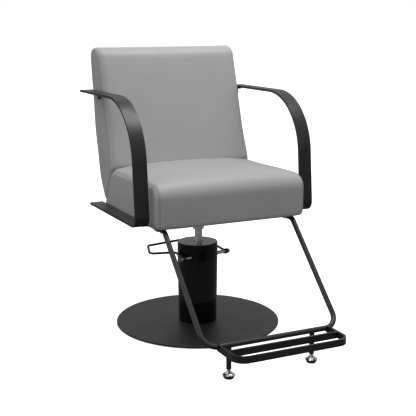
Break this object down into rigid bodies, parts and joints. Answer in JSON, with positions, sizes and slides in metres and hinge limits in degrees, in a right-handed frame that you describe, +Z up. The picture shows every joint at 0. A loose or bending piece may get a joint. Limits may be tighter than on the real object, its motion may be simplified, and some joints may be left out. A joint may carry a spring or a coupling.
{
  "type": "styling chair",
  "caption": "Hydraulic salon styling chair with a square padded seat and back, bent flat-bar armrests, tube footrest with a slatted frame, foot pump and round floor base.",
  "frame": {"origin": "on the floor, on the axis of the lifting ram about which the chair swivels", "axes": "+Z up, -Y the way the sitter faces, +X the sitter's left"},
  "size_m": [0.6748, 1.0276, 1.003],
  "materials": {
    "vinyl": "smooth satin vinyl",
    "black_powder": "satin powder coat",
    "black_gloss": "gloss enamel",
    "base_paint": "fine textured satin",
    "chrome": "polished",
    "ram_steel": "ground steel",
    "steel": "machined",
    "zinc": "zinc plated",
    "castiron": "machined casting",
    "bronze": "sintered bronze",
    "foam": "open-cell foam",
    "rubber": "matt",
    "plywood": "raw plywood",
    "polymer": "matt"
  },
  "bodies": {
    "base": {"floor_pad": "rubber", "base_disc": "base_paint", "base_bolts": "zinc", "lower_cover": "black_gloss", "middle_cover": "black_gloss", "cap_cover": "black_gloss", "pump_tank": "castiron", "cylinder_tube": "steel", "pump_head": "castiron", "head_bolts": "zinc", "ram_bush": "bronze", "ram_wiper": "polymer", "axle_bushes": "bronze", "plunger_barrel": "steel", "plunger_spring": "steel"},
    "piston": {"piston_head": "steel", "piston_seal": "rubber", "thrust_washer": "bronze"},
    "chair": {"lift_ram": "ram_steel", "seat_hub": "ram_steel", "seat_plate": "steel", "plate_bolts": "zinc", "board_inserts": "zinc", "seat_board": "plywood", "seat_foam": "foam", "seat_cover": "vinyl", "back_struts": "steel", "strut_screws": "zinc", "back_board": "plywood", "backrest_foam": "foam", "backrest_cover": "vinyl", "rear_panel_foam": "foam", "rear_panel_cover": "vinyl", "right_arm": "black_powder", "left_arm": "black_powder", "arm_screws": "zinc", "right_arm_bracket": "black_powder", "left_arm_bracket": "black_powder", "bracket_screws": "zinc", "footrest_tube": "black_powder", "footrest_frame": "black_powder", "footrest_slat": "black_powder", "footrest_posts": "black_powder", "footrest_saddles": "zinc", "saddle_screws": "zinc"},
    "pedal": {"pedal_axle": "steel", "axle_screws": "chrome", "pedal_loop": "black_powder", "pedal_rocker": "steel"},
    "plunger": {"pump_plunger": "steel"},
    "glide_right": {"right_glide_stem": "steel", "right_glide_foot": "chrome", "right_glide_pad": "rubber"},
    "glide_left": {"left_glide_stem": "steel", "left_glide_foot": "chrome", "left_glide_pad": "rubber"}
  },
  "joints": [
    {"name": "column_lift", "type": "slide", "parent": "base", "child": "piston", "axis": [0, 0, 1], "range_m": [0, 0.15]},
    {"name": "seat_swivel", "type": "hinge", "parent": "piston", "child": "chair", "pos_m": [0, 0, 0.35], "axis": [0, 0, 1], "continuous": true},
    {"name": "pedal_press", "type": "hinge", "parent": "base", "child": "pedal", "pos_m": [0.00681, -0.03637, 0.26], "axis": [-0.9829, -0.1839, 0], "range_deg": [-5, 22], "stiffness_Nm_per_rad": 12, "springref_deg": -1.72},
    {"name": "plunger_stroke", "type": "slide", "parent": "base", "child": "plunger", "axis": [0, 0, -1], "range_m": [-0.002, 0.006], "deforming": ["plunger_spring"]},
    {"name": "right_glide_height", "type": "slide", "parent": "chair", "child": "glide_right", "axis": [0, 0, 1], "range_m": [0, 0.006]},
    {"name": "left_glide_height", "type": "slide", "parent": "chair", "child": "glide_left", "axis": [0, 0, 1], "range_m": [0, 0.006]}
  ],
  "couplings": [
    {"joint": "plunger_stroke", "follows": "pedal_press", "m_per_rad": 0.014}
  ]
}
